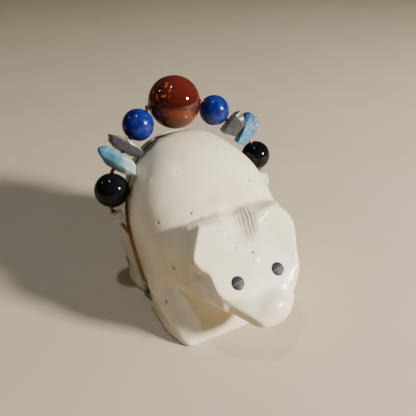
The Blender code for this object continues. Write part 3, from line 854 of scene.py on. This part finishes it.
def make_beads():
    lapis, onyx, amber = lapis_finish(), onyx_finish(), amber_finish()
    make_bead("amber_bead", amber, 1.0)
    grey = quartz_finish("smoky_quartz", (0.12, 0.125, 0.14), (0.05, 0.053, 0.062), 0.15)
    clear = quartz_finish("milky_quartz", (0.80, 0.81, 0.82), (0.66, 0.67, 0.68), 0.25)
    fang = turquoise_finish("sky_turquoise", (0.34, 0.45, 0.50), (0.048, 0.165, 0.29), (0.018, 0.09, 0.16))
    wedge = turquoise_finish("deep_turquoise", (0.045, 0.17, 0.31), (0.018, 0.10, 0.23), (0.012, 0.075, 0.17))
    for index, (side, hand) in enumerate(SIDES):
        turquoise = fang if side < 0 else wedge
        make_bead(f"lapis_bead_{hand}", lapis, 3.0 + index)
        make_bead(f"onyx_bead_{hand}", onyx, 5.0 + index)
        make_chip(f"grey_chip_{hand}", grey, 7.0 + index)
        make_chip(f"turquoise_chip_{hand}", turquoise, 9.0 + index)
        make_chip(f"clear_chip_{hand}", clear, 11.0 + index)


# ---------------------------------------------------------------- the sinew


def smooth_curve(points, spacing):
    """Points about spacing apart on a smooth curve through the given points."""
    ends = [points[0] * 2 - points[1], *points, points[-1] * 2 - points[-2]]
    curve = []
    for a, b, c, d in zip(ends, ends[1:], ends[2:], ends[3:]):
        steps = max(1, round((c - b).length / spacing))
        for step in range(steps):
            t = step / steps
            curve.append(
                0.5 * (2 * b + (c - a) * t + (2 * a - 5 * b + 4 * c - d) * t ** 2
                       + (3 * b - a - 3 * c + d) * t ** 3)
            )
    curve.append(points[-1])
    return curve


def twine(name, points, diameter, pitch=4.0, sides=16):
    """A two-ply waxed strand along a smooth curve, its plies twisting once in a pitch."""
    centres = smooth_curve(points, 0.22)
    shape = bmesh.new()
    rings, marks = [], []
    across, run = Vector((0.0, 1.0, 0.0)), 0.0
    for i, centre in enumerate(centres):
        ahead = centres[min(i + 1, len(centres) - 1)] - centres[max(i - 1, 0)]
        along = ahead.normalized()
        across = (across - along * across.dot(along)).normalized()
        other = along.cross(across)
        run += (centre - centres[max(i - 1, 0)]).length
        worn = 1.0 + 0.10 * noise.noise(centre * 0.6)
        if i in (0, len(centres) - 1):
            worn *= 0.6
        ring = []
        for side in range(sides):
            angle = 2 * math.pi * side / sides
            lobe = 0.86 + 0.14 * abs(math.cos(angle - math.pi * run / pitch))
            reach = diameter / 2 * worn * lobe
            spot = across * math.cos(angle) + other * math.sin(angle)
            ring.append(shape.verts.new(centre + spot * reach))
            marks.append((run, side / sides))
        rings.append(ring)
    for low, high in zip(rings, rings[1:]):
        for i in range(sides):
            j = (i + 1) % sides
            shape.faces.new((low[i], low[j], high[j], high[i]))
    shape.faces.new(reversed(rings[0]))
    shape.faces.new(rings[-1])
    mesh = mesh_from(shape, name)
    mark(mesh, "along", np.array([along for along, _ in marks]))
    mark(mesh, "around", np.array([2 * abs(around - 0.5) for _, around in marks]))
    return mesh


def laid_on(path, lift, aside):
    """The path's points lifted off the stone and moved across the path."""
    moved = []
    for i, (point, way) in enumerate(path):
        before, after = path[max(i - 1, 0)][0], path[min(i + 1, len(path) - 1)][0]
        across = way.cross(after - before).normalized()
        if across.y < 0:
            across = -across
        moved.append(point + way * lift + across * aside)
    return moved


def under_belly(reach, aside, radius):
    """From a flank in under the belly to the knot, on the left side."""
    route = []
    for x in (reach - 0.9, reach - 2.4, 7.0, 4.0, 1.4):
        roof = SLOT_ROOF - x * x / (2 * SLOT_DISC_RADIUS)
        route.append(Vector((x, SLOT_Y + aside, roof - 0.15 - radius)))
    return route


def mirror(point):
    return Vector((-point.x, point.y, point.z))


def through_beads(side, hand):
    """The strand's way from the amber bead down through one side's beads and chips."""
    amber = Vector(joint_of("amber_bead")["pos_m"]) / MM
    route = [amber + Vector((side * AMBER_BEAD / 2, 0.0, 0.0))]
    for node in (f"lapis_bead_{hand}", f"grey_chip_{hand}", f"turquoise_chip_{hand}",
                 f"onyx_bead_{hand}", f"clear_chip_{hand}"):
        joint = joint_of(node)
        centre, way = Vector(joint["pos_m"]) / MM, Vector(joint["axis"])
        reach = bead_radius(node) + BEAD_GAP if "bead" in node else 1.5
        route += [centre - way * reach, centre + way * reach]
    return route


def half_strand(path, side, hand):
    """The bead strand from the amber bead down one side to the knot under the belly."""
    route = through_beads(side, hand)
    flank = laid_on(path, STRAND / 2 - STRAND_SINK, STRAND_APART / 2)
    flank = [p for p in flank if p.z < route[-1].z - STRANDS_MEET_BELOW and p.x * side > 0]
    flank.sort(key=lambda p: -p.z)
    under = under_belly(abs(flank[-1].x), STRAND_APART / 2, STRAND / 2)
    return route + flank + [Vector((side * p.x, p.y, p.z)) for p in under]


def make_knot(finish):
    """An overhand knot where the four strand ends meet, with two short cut tails."""
    low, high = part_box("belly_knot")
    middle = (low + high) / 2 / MM
    middle.z = high.z / MM - 1.0
    loop = []
    for i in range(36):
        t = 2 * math.pi * i / 36
        loop.append(middle + Vector((
            0.42 * (math.sin(t) + 2 * math.sin(2 * t)), 0.30 * (math.cos(t) - 2 * math.cos(2 * t)),
            -0.42 * math.sin(3 * t),
        )))
    tails = [
        [middle + Vector((side * 0.4, side * 0.3, -0.3)), middle + Vector((side * 1.3, side * 0.5, -1.0)),
         middle + Vector((side * 2.6, side * 0.4, -1.7))]
        for side in (-1, 1)
    ]
    shape = bmesh.new()
    for route in (loop + loop[:2], *tails):
        part = twine("part", route, KNOT_STRAND)
        shape.from_mesh(part)
    mesh = bpy.data.meshes.new("belly_knot_tied")
    shape.to_mesh(mesh)
    shape.free()
    mesh.shade_smooth()
    piece("belly_knot_tied", mesh, finish, BEAR, "belly_knot")


def make_sinew(path):
    dark = sinew_finish("dark_sinew", (0.15, 0.058, 0.020), (0.38, 0.19, 0.08))
    tan = sinew_finish("tan_sinew", (0.14, 0.058, 0.022), (0.40, 0.21, 0.095))
    over = laid_on(path, BAND / 2 - BAND_SINK, -STRAND_APART / 2)
    under = under_belly(over[-1].x, -STRAND_APART / 2, BAND / 2)
    band = [mirror(point) for point in reversed(under)] + over + under
    mesh = twine("sinew_band_twisted", band, BAND)
    piece("sinew_band_twisted", mesh, dark, BEAR, "sinew_band")
    right, left = (half_strand(path, side, hand) for side, hand in SIDES)
    mesh = twine("bead_strand_twisted", right[::-1] + left, STRAND, pitch=3.0)
    piece("bead_strand_twisted", mesh, tan, BEAR, "bead_strand")
    make_knot(dark)


# ---------------------------------------------------------------- stage, light and camera


def make_floor():
    shape = bmesh.new()
    bmesh.ops.create_grid(shape, x_segments=2, y_segments=2, size=1500.0)
    floor = new_object("floor", mesh_from(shape, "floor"), floor_finish())


def lamp(name, way, size, power, colour):
    """A round soft light in this direction from the bear."""
    data = bpy.data.lights.new(name, "AREA")
    data.shape = "DISK"
    data.size = size * MM
    data.energy = power
    data.color = colour
    item = link(bpy.data.objects.new(name, data))
    item.location = (Vector((0, 0, 15)) + way * LIGHT_DISTANCE) * MM
    item.rotation_mode = "QUATERNION"
    item.rotation_quaternion = way.to_track_quat("Z", "Y")


def make_lights():
    lamp("key", Vector((0.62, -0.67, 0.41)), 60.0, 5.2, (1.0, 0.925, 0.81))
    lamp("over", Vector((-0.13, 0.06, 0.99)), 24.0, 0.42, (0.86, 0.94, 1.0))
    lamp("back", Vector((-0.62, 0.44, 0.65)), 24.0, 0.08, (1.0, 0.95, 0.88))
    world = bpy.data.worlds.new("studio")
    bpy.context.scene.world = world
    world.use_nodes = True
    sky = world.node_tree.nodes["Background"]
    sky.inputs["Color"].default_value = (1.0, 0.86, 0.64, 1.0)
    sky.inputs["Strength"].default_value = 0.08


def make_camera():
    data = bpy.data.cameras.new("camera")
    data.lens = FOCAL
    data.sensor_width = SENSOR
    data.clip_start = 1.0 * MM
    camera = link(bpy.data.objects.new("camera", data))
    back = direction(AZIMUTH, ELEVATION)
    camera.location = (LOOK_AT + back * VIEW_DISTANCE) * MM
    camera.rotation_mode = "QUATERNION"
    camera.rotation_quaternion = back.to_track_quat("Z", "Y")
    bpy.context.scene.camera = camera


def main():
    make_camera()
    make_floor()
    make_lights()
    path = make_stone()
    make_eyes()
    make_beads()
    make_sinew(path)


main()
